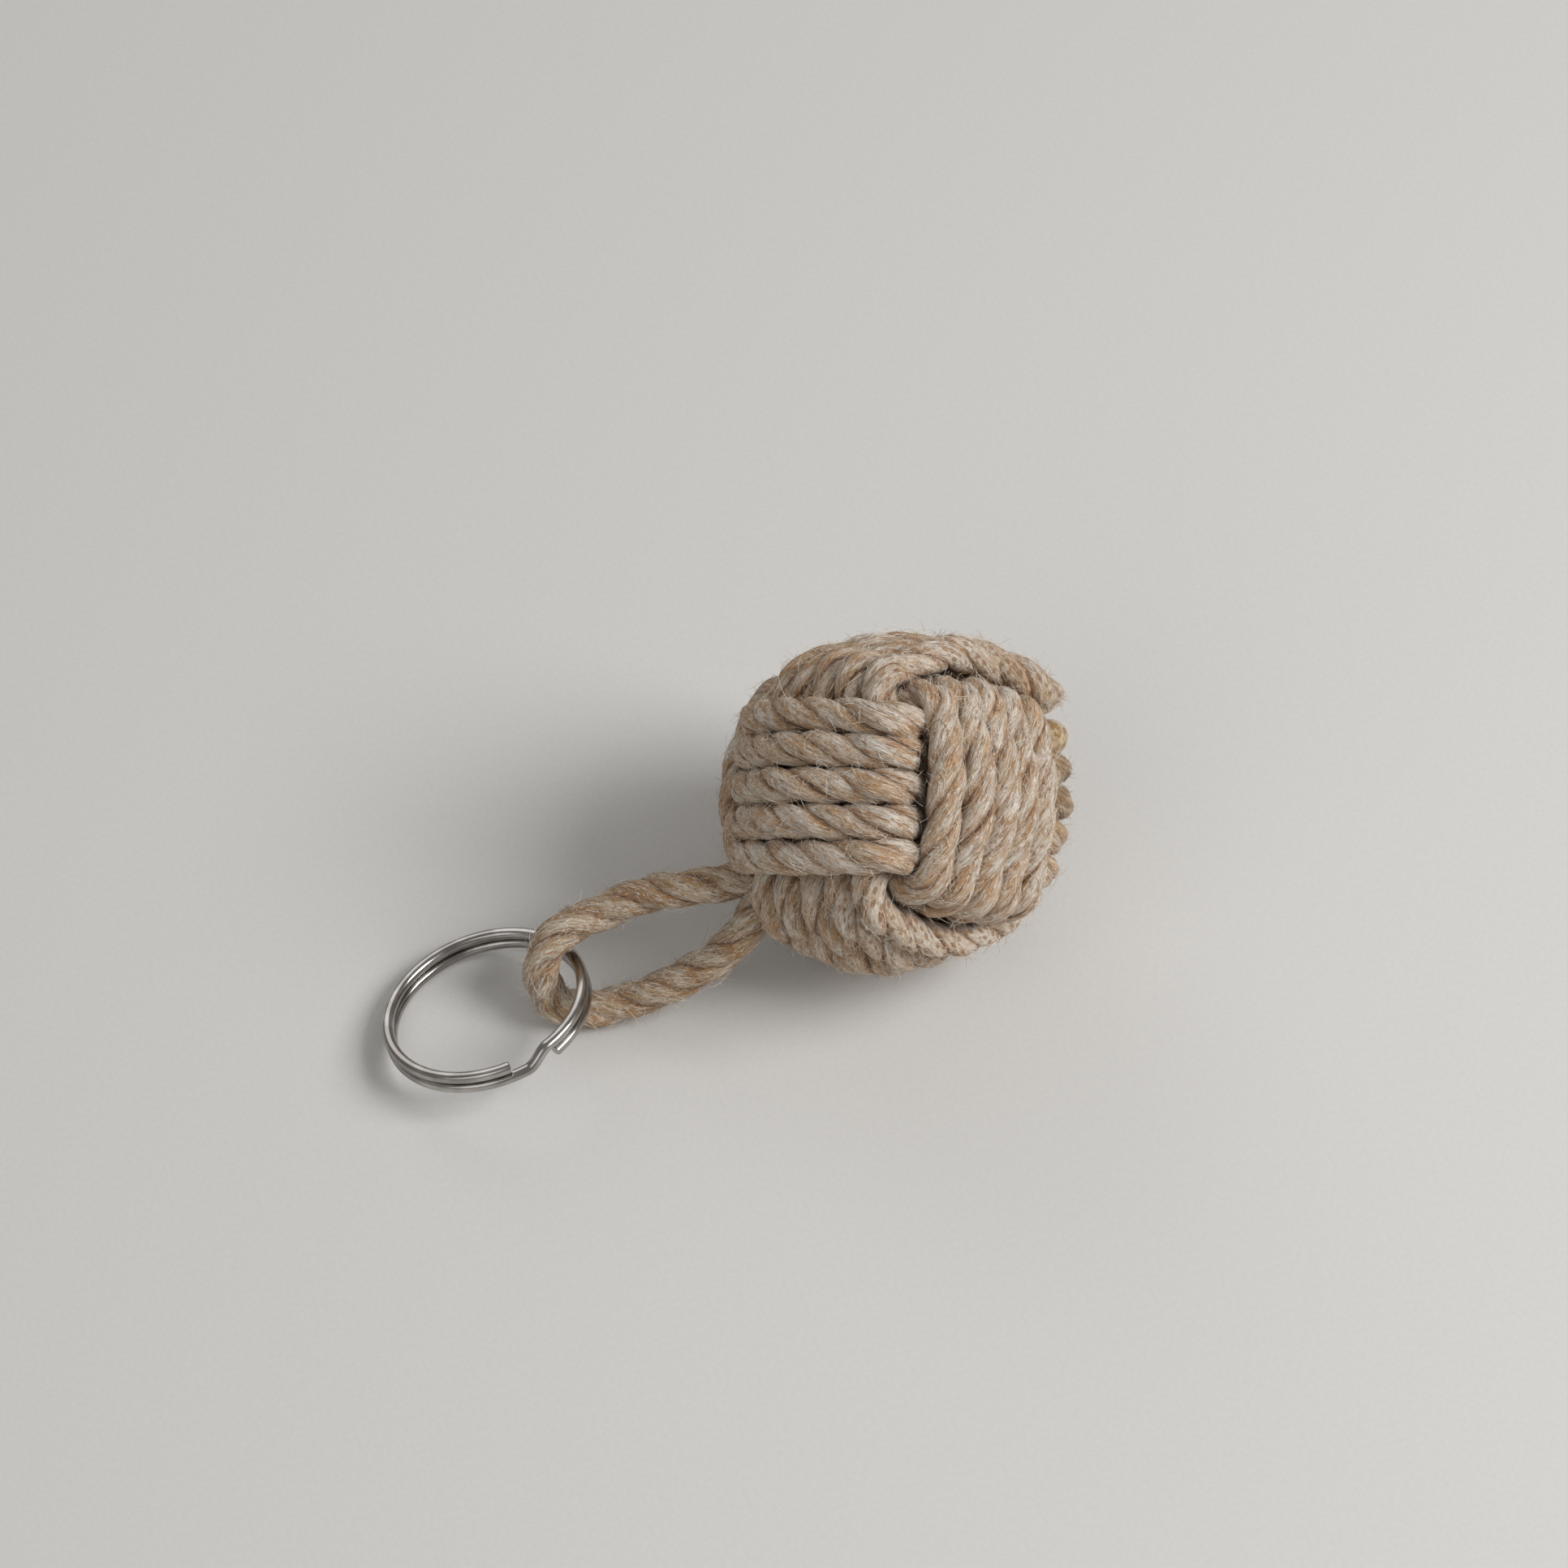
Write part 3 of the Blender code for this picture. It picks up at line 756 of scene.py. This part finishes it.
def cut_end_fibres(rng, strands, size, count):
    """Fibres that stand out of a rope's cut end."""
    lines = []
    for _ in range(count):
        middle, _, across, beside = strands[rng.integers(STRANDS)]
        angle, reach = rng.uniform(0, 2 * math.pi), math.sqrt(rng.uniform())
        out = math.cos(angle) * across[-1] + math.sin(angle) * beside[-1]
        along = middle[-1] - middle[-2]
        along /= np.linalg.norm(along)
        base = middle[-2] + out * reach * size.diameter * size.strand_radius * TUFT.start
        way = along + out * reach * rng.uniform(*TUFT.rises) + rng.normal(size=3) * TUFT.lean
        way /= np.linalg.norm(way)
        length = rng.uniform(*TUFT.lengths)
        curl = rng.uniform(-TUFT.curl, TUFT.curl)
        lines.append(grow(base, out, way, length, curl, 0.0, TUFT.points))
    return lines


def fibre_mesh(name, strands, size, fibres, seed, counts, shown, tuft=0):
    """Loose fibres on a rope: some lie on it, some stand up as fuzz, a few are long hairs, and
    a tuft may stand out of its end."""
    rng = np.random.default_rng(seed)
    lines = []
    radius = size.diameter * size.strand_radius
    kinds = [kind for kind, count in zip((LYING, FUZZ, HAIR), counts) for _ in range(count)]
    while len(lines) < len(kinds):
        kind = kinds[len(lines)]
        middle, thick, across, beside = strands[rng.integers(STRANDS)]
        i = int(rng.integers(2, len(middle) - 2))
        angle = rng.uniform(0, 2 * math.pi)
        out = math.cos(angle) * across[i] + math.sin(angle) * beside[i]
        base = middle[i] + out * radius * thick[i] * kind.start
        if not shown(base, out):
            continue
        along = middle[i + 1] - middle[i]
        along *= rng.choice((-1, 1)) / np.linalg.norm(along)
        lean = rng.normal() * kind.lean
        way = math.cos(lean) * along + math.sin(lean) * np.cross(along, out)
        shortest, longest = kind.lengths
        if kind.usual:
            length = min(shortest + rng.exponential(kind.usual), longest)
        else:
            length = rng.uniform(shortest, longest)
        way = way + out * rng.uniform(*kind.rises)
        way /= np.linalg.norm(way)
        drop = math.sin(lean) ** 2 / size.diameter + HUG if kind is LYING else 0.0
        curl = rng.uniform(-kind.curl, kind.curl)
        line = grow(base, out, way, length, curl, drop, kind.points)
        if line[:, 2].min() >= FIBRE_FLOOR_GAP:
            lines.append(line)
    lines += cut_end_fibres(rng, strands, size, tuft)
    thicknesses = [np.linspace(*TAPER, len(line)) * rng.uniform(*THICKNESS_RANGE)
                   for line in lines]
    return tubes_to_mesh(name, lines, thicknesses, fibres.thickness / 2, 0)


class RopeSizes(bpy.types.PropertyGroup):
    """Sizes and colours of the rope."""

    knot_colours: bpy.props.StringProperty(
        name="Knot's colours", description="Pale, tan, brown and ochre hemp, as sRGB hex codes",
        default="#EADCCA #CCA374 #8A5E34 #B87F40",
    )
    eye_colours: bpy.props.StringProperty(
        name="Eye's colours", description="The same four for the eye, which is browner",
        default="#DECBAF #B88C57 #724B28 #AD732F",
    )
    diameter: bpy.props.FloatProperty(
        name="Rope diameter", description="Thickness of the laid rope", default=0.0049,
        unit="LENGTH",
    )
    eye_swell: bpy.props.FloatProperty(
        name="Eye swell", description="Thickness of the free rope against the tied one",
        default=1.05, subtype="FACTOR",
    )
    lay: bpy.props.FloatProperty(
        name="Lay", description="Length of rope in which a strand goes once round",
        default=0.0169, unit="LENGTH",
    )
    fibre_lay: bpy.props.FloatProperty(
        name="Fibre lay", description="Length in which a fibre goes once round its strand",
        default=0.030, unit="LENGTH",
    )
    strand_radius: bpy.props.FloatProperty(
        name="Strand radius", description="Radius of a strand as a share of the diameter",
        default=0.330, subtype="FACTOR",
    )
    strand_reach: bpy.props.FloatProperty(
        name="Strand reach", description="Strand's distance from the middle, as such a share",
        default=0.168, subtype="FACTOR",
    )
    end_round: bpy.props.FloatProperty(
        name="End rounding", description="Length over which a cut end rounds off",
        default=0.0011, unit="LENGTH",
    )
    step: bpy.props.FloatProperty(
        name="Step", description="Distance between the rope mesh's rings of points",
        default=0.00055, unit="LENGTH",
    )


class FibreSizes(bpy.types.PropertyGroup):
    """Sizes and numbers of the loose fibres."""

    lying: bpy.props.IntProperty(
        name="Lying fibres", description="Fibres that lie on each winding", default=3600,
    )
    fuzz: bpy.props.IntProperty(
        name="Fuzz", description="Short fibres that stand up on each winding", default=2200,
    )
    hairs: bpy.props.IntProperty(
        name="Long hairs", description="Long hairs on each winding", default=26,
    )
    tuft: bpy.props.IntProperty(
        name="Tuft", description="Fibres that stand out of the rope's cut end", default=110,
    )
    thickness: bpy.props.FloatProperty(
        name="Fibre thickness", description="At the root, coarser than a real fibre's, to show",
        default=0.00008, unit="LENGTH",
    )


class RingSizes(bpy.types.PropertyGroup):
    """Sizes of the split ring's wire."""

    wire_width: bpy.props.FloatProperty(
        name="Wire width", description="Width of the wire across the ring", default=0.00158,
        unit="LENGTH",
    )
    wire_height: bpy.props.FloatProperty(
        name="Wire height", description="Thickness of the wire along the ring's axis",
        default=0.00142, unit="LENGTH",
    )
    end_bevel: bpy.props.FloatProperty(
        name="End bevel", description="Length of the bevel on the wire's cut ends",
        default=0.00012, unit="LENGTH",
    )


class StageColours(bpy.types.PropertyGroup):
    """Colours of the stage."""

    floor: bpy.props.StringProperty(
        name="Floor colour", description="sRGB hex colour of the floor", default="#D3D1CE",
    )
    sky: bpy.props.StringProperty(
        name="Surroundings", description="sRGB hex colour of the surroundings",
        default="#F1F0EE",
    )


class KEYCHAIN_OT_tie_knot(bpy.types.Operator):
    """Lay the knot's three windings of rope"""

    bl_idname = "keychain.tie_knot"
    bl_label = "Tie the knot"

    def execute(self, context):
        size = context.scene.keychain_rope
        material = hemp_material("natural_hemp_rope", *size.knot_colours.split())
        for node, seed, line, strands in winding_ropes(size):
            piece = lay_rope(f"{node}_rope", line, strands, size, seed, material)
            places = vertex_places(piece.data)
            store(piece.data, "soaked", soaked_with_glue(places, node))
            store(piece.data, "marked", brown_marks(places, node))
            free_end = node == "third_winding"
            store(piece.data, "sunk", sunk_between_turns(places, line, size, free_end))
            press_on_floor(piece.data)
            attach(piece, "fist")
            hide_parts(node)
        return {"FINISHED"}


class KEYCHAIN_OT_lay_eye(bpy.types.Operator):
    """Lay the rope eye that the ring hangs in"""

    bl_idname = "keychain.lay_eye"
    bl_label = "Lay the eye"

    def execute(self, context):
        size = context.scene.keychain_rope
        material = hemp_material("natural_hemp_eye", *size.eye_colours.split())
        line, strands = eye_rope(size)
        piece = lay_rope("rope_eye", line, strands, size, EYE_SEED, material)
        plain = np.zeros(len(piece.data.vertices))
        for name, value in (("soaked", 0), ("marked", MARKS_ON_EYE), ("sunk", 0)):
            store(piece.data, name, plain + value)
        press_on_floor(piece.data)
        tuple(line[BEND_START])
        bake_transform(piece)
        tuple(BEND_END)
        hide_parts("rope_loop")
        tuple(line[0])
        float(lengths_along(line)[-1])
        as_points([tuple(point) for point in line[::PATH_STEP]] + [tuple(line[-1])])
        return {"FINISHED"}


class KEYCHAIN_OT_grow_fibres(bpy.types.Operator):
    """Grow the loose fibres on the knot and the eye"""

    bl_idname = "keychain.grow_fibres"
    bl_label = "Grow the fibres"

    def execute(self, context):
        size, fibres = context.scene.keychain_rope, context.scene.keychain_fibres
        material = fibre_material()
        centre = np.array(KNOT_CENTRE)

        def on_skin(base, out):
            away = base - centre
            reach = np.linalg.norm(away)
            return reach > SKIN_REACH and out @ away / reach > SKIN_FACING

        def clear_of_knot(base, out):
            return np.linalg.norm(base - centre) > EYE_CLEAR

        counts = (fibres.lying, fibres.fuzz, fibres.hairs)
        for node, seed, _, strands in winding_ropes(size):
            name = f"{node}_fibres"
            tuft = fibres.tuft if node == "third_winding" else 0
            mesh = fibre_mesh(name, strands, size, fibres, KNOT_FIBRES_SEED + seed, counts,
                              on_skin, tuft)
            fuzz = make_object(name, mesh, material)
            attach(fuzz, "fist")
        line, strands = eye_rope(size)
        counts = [count // EYE_PART for count in counts]
        mesh = fibre_mesh("eye_fibres", strands, size, fibres, EYE_FIBRES_SEED, counts,
                          clear_of_knot)
        fuzz = make_object("eye_fibres", mesh, material)
        tuple(line[BEND_START])
        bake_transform(fuzz)
        tuple(BEND_END)
        return {"FINISHED"}


class KEYCHAIN_OT_wind_ring(bpy.types.Operator):
    """Wind the split ring's wire"""

    bl_idname = "keychain.wind_ring"
    bl_label = "Wind the ring"

    def execute(self, context):
        size = context.scene.keychain_ring
        material = nickel_material()
        root = UPPER_END - LEAF_ARC
        mesh = wire_mesh("ring_wire", root, LOWER_END, size, -1)
        wire = make_object("ring_wire", mesh, material)
        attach(wire, "ring")
        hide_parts("split_ring")
        mesh = wire_mesh("ring_free_end", UPPER_END, root, size, 0)
        leaf = make_object("ring_free_end", mesh, material)
        start, end = (ring_axes() @ ring_point(angle) for angle in (root, root + LEAF_BEND_ARC))
        tuple(start)
        tuple(end)
        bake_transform(leaf)
        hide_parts("ring_end")
        return {"FINISHED"}


def ring_axes():
    away = Vector((math.cos(RING_TILT_TOWARDS), math.sin(RING_TILT_TOWARDS), 0))
    axis = (Vector((0, 0, 1)) * math.cos(RING_TILT) - away * math.sin(RING_TILT)).normalized()
    across = (Vector((1, 0, 0)) - axis * axis.x).normalized()
    matrix = Matrix((across, axis.cross(across), axis)).transposed().to_4x4()
    matrix.translation = RING_CENTRE
    return matrix


def ring_point(angle):
    """A point of the wire's middle line, in the ring's axes. It drops from the upper turn to
    the lower one at the kink."""
    share = min(max((KINK_START - angle) / (KINK_START - KINK_END), 0.0), 1.0)
    height = COIL_RISE * (1 - 2 * ease(share))
    return Vector((WIRE_LINE_RADIUS * math.cos(angle), WIRE_LINE_RADIUS * math.sin(angle), height))


def wire_mesh(name, start, end, size, cut_end):
    """The wire between two angles, clockwise: a slightly boxy section along its middle line,
    bevelled at its cut end, the first or the last."""
    rows = max(2, round(math.degrees(start - end) / ROW_DEGREES))
    angles = np.linspace(start, end, rows + 1)
    bevel = size.end_bevel / WIRE_LINE_RADIUS
    inset = start - bevel if cut_end == 0 else end + bevel
    angles = np.sort(np.append(angles, inset))[::-1]
    section = bpy.data.curves.new("wire_section", "CURVE")
    outline = section.splines.new("POLY")
    outline.points.add(SECTION_POINTS - 1)
    outline.use_cyclic_u = True
    for index, point in enumerate(outline.points):
        turn = 2 * math.pi * index / SECTION_POINTS
        x, y = (math.copysign(abs(side) ** SECTION_POWER, side) / 2
                for side in (math.cos(turn), math.sin(turn)))
        point.co = (x * size.wire_width, y * size.wire_height, 0, 1)
    section_object = link_object("wire_section", section)
    curve = bpy.data.curves.new(name, "CURVE")
    curve.dimensions = "3D"
    curve.twist_mode = "Z_UP"
    curve.bevel_mode = "OBJECT"
    curve.bevel_object = section_object
    curve.use_fill_caps = True
    spline = curve.splines.new("POLY")
    spline.points.add(len(angles) - 1)
    for point, angle in zip(spline.points, angles):
        point.co = (*ring_point(angle), 1)
    spline.points[cut_end].radius = BEVEL_END
    mesh = mesh_of_curve(name, curve)
    bpy.data.objects.remove(section_object)
    bpy.data.curves.remove(section)
    mesh.transform(ring_axes())
    mesh.set_sharp_from_angle(angle=SHARP_ANGLE)
    return mesh


def melt_together(name, shape):
    """Melts overlapping closed shapes into one smooth skin."""
    rough = bpy.data.meshes.new(name)
    shape.to_mesh(rough)
    shape.free()
    guide = link_object(name, rough)
    remesh = guide.modifiers.new("melt", "REMESH")
    remesh.mode = "VOXEL"
    remesh.voxel_size = MELT_VOXEL
    smooth = guide.modifiers.new("smooth", "SMOOTH")
    smooth.iterations = MELT_SMOOTHING
    mesh = finished_mesh(guide)
    bpy.data.meshes.remove(rough)
    mesh.name = name
    mesh.shade_smooth()
    return mesh


class KEYCHAIN_OT_dab_glue(bpy.types.Operator):
    """Dab set glue over the end of the first winding"""

    bl_idname = "keychain.dab_glue"
    bl_label = "Dab the glue"

    def execute(self, context):
        size = context.scene.keychain_rope
        route = [KNOT @ point for point in winding_routes()["first_winding"]]
        line = smooth_line(route, size.step)
        nearest = nearest_steps(line, [KNOT @ GLUE_PLACE])[0]
        reach = round(GLUE_LENGTH / 2 / size.step)
        stretch = line[nearest - reach:nearest + reach + 1]
        outwards = out_of_knot(stretch)
        down = np.array(KNOT.to_3x3() @ -TOP)
        swell = np.sqrt(np.clip(1 - np.linspace(-1, 1, len(stretch)) ** 2, GLUE_TIP, 1))
        rng = np.random.default_rng(GLUE_SEED)
        lumps = 1 + wander(rng, lengths_along(stretch), GLUE_LUMPS)
        drop = bmesh.new()
        for share, side, proud in GLUE_RIDGES:
            lift = size.diameter / 2 * (1 - share) * RIDGE_LIFT
            for i in range(0, len(stretch), GLUE_STEP):
                radius = (size.diameter / 2 + GLUE_FILM) * lumps[i] * share
                radius *= max(swell[i], GLUE_LEAST)
                place = stretch[i] + down * GLUE_RUN * side
                place += outwards[i] * (GLUE_PROUD * proud * swell[i] + lift)
                bmesh.ops.create_icosphere(drop, subdivisions=3, radius=radius,
                                           matrix=Matrix.Translation(place))
        mesh = melt_together("glue_drop", drop)
        piece = make_object("glue_drop", mesh, glue_material())
        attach(piece, "fist")
        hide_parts("glue_dab")
        return {"FINISHED"}


class KEYCHAIN_OT_turn_core(bpy.types.Operator):
    """Give the ball inside the knot its wood"""

    bl_idname = "keychain.turn_core"
    bl_label = "Turn the core"

    def execute(self, context):
        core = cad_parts["core_ball"]
        core.data.materials.clear()
        core.data.materials.append(beech_material())
        return {"FINISHED"}


class KEYCHAIN_OT_set_stage(bpy.types.Operator):
    """Set up the floor, the lamps and the camera"""

    bl_idname = "keychain.set_stage"
    bl_label = "Set the stage"

    def execute(self, context):
        colours = context.scene.keychain_stage
        shape = bmesh.new()
        bmesh.ops.create_grid(shape, x_segments=1, y_segments=1, size=FLOOR_HALF_WIDTH)
        mesh = bpy.data.meshes.new("studio_floor")
        shape.to_mesh(mesh)
        shape.free()
        make_object("studio_floor", mesh, paper_material(colours.floor))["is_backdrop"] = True
        for name, place, power, width in LAMPS:
            lamp = bpy.data.lights.new(name, "AREA")
            lamp.energy = power
            lamp.size = width
            holder = link_object(name, lamp)
            holder.location = place
            aim = LAMP_TARGET - Vector(place)
            holder.rotation_euler = aim.to_track_quat("-Z", "Y").to_euler()
        world = bpy.data.worlds.new("studio")
        context.scene.world = world
        world.use_nodes = True
        background = world.node_tree.nodes["Background"]
        background.inputs["Color"].default_value = colour(colours.sky)
        background.inputs["Strength"].default_value = SKY_STRENGTH
        camera = bpy.data.cameras.new("camera")
        camera.lens = CAMERA_LENS
        camera.clip_start = NEAREST_SEEN
        holder = link_object("camera", camera)
        holder.location = CAMERA_PLACE
        holder.rotation_euler = [math.radians(a) for a in CAMERA_TURN]
        context.scene.camera = holder
        context.scene.view_settings.view_transform = "Standard"
        return {"FINISHED"}


class KEYCHAIN_PT_panel(bpy.types.Panel):
    """The keychain's sizes and steps"""

    bl_label = "Rope keychain"
    bl_idname = "KEYCHAIN_PT_panel"
    bl_space_type = "VIEW_3D"
    bl_region_type = "UI"
    bl_category = "Keychain"

    def draw(self, context):
        for name in GROUPS:
            box = self.layout.box()
            group = getattr(context.scene, name)
            for key in group.bl_rna.properties.keys():
                if key not in ("rna_type", "name"):
                    box.prop(group, key)
        for operator in OPERATORS:
            self.layout.operator(operator.bl_idname)


GROUPS = {
    "keychain_rope": RopeSizes,
    "keychain_fibres": FibreSizes,
    "keychain_ring": RingSizes,
    "keychain_stage": StageColours,
}
OPERATORS = (
    KEYCHAIN_OT_set_stage,
    KEYCHAIN_OT_lay_eye,
    KEYCHAIN_OT_tie_knot,
    KEYCHAIN_OT_grow_fibres,
    KEYCHAIN_OT_dab_glue,
    KEYCHAIN_OT_turn_core,
    KEYCHAIN_OT_wind_ring,
)


def register():
    for group in GROUPS.values():
        bpy.utils.register_class(group)
    for name, group in GROUPS.items():
        setattr(bpy.types.Scene, name, bpy.props.PointerProperty(type=group))
    for operator in OPERATORS:
        bpy.utils.register_class(operator)
    bpy.utils.register_class(KEYCHAIN_PT_panel)


def unregister():
    bpy.utils.unregister_class(KEYCHAIN_PT_panel)
    for operator in reversed(OPERATORS):
        bpy.utils.unregister_class(operator)
    for name, group in GROUPS.items():
        delattr(bpy.types.Scene, name)
        bpy.utils.unregister_class(group)


def main():
    register()
    bpy.ops.keychain.set_stage()
    bpy.ops.keychain.lay_eye()
    bpy.ops.keychain.tie_knot()
    bpy.ops.keychain.grow_fibres()
    bpy.ops.keychain.dab_glue()
    bpy.ops.keychain.turn_core()
    bpy.ops.keychain.wind_ring()
    boxes = {"model": MODEL_BOX, "dressed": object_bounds()}
    ({name: [[float(c) for c in corner] for corner in box]
               for name, box in boxes.items()})


if __name__ == "__main__":
    main()
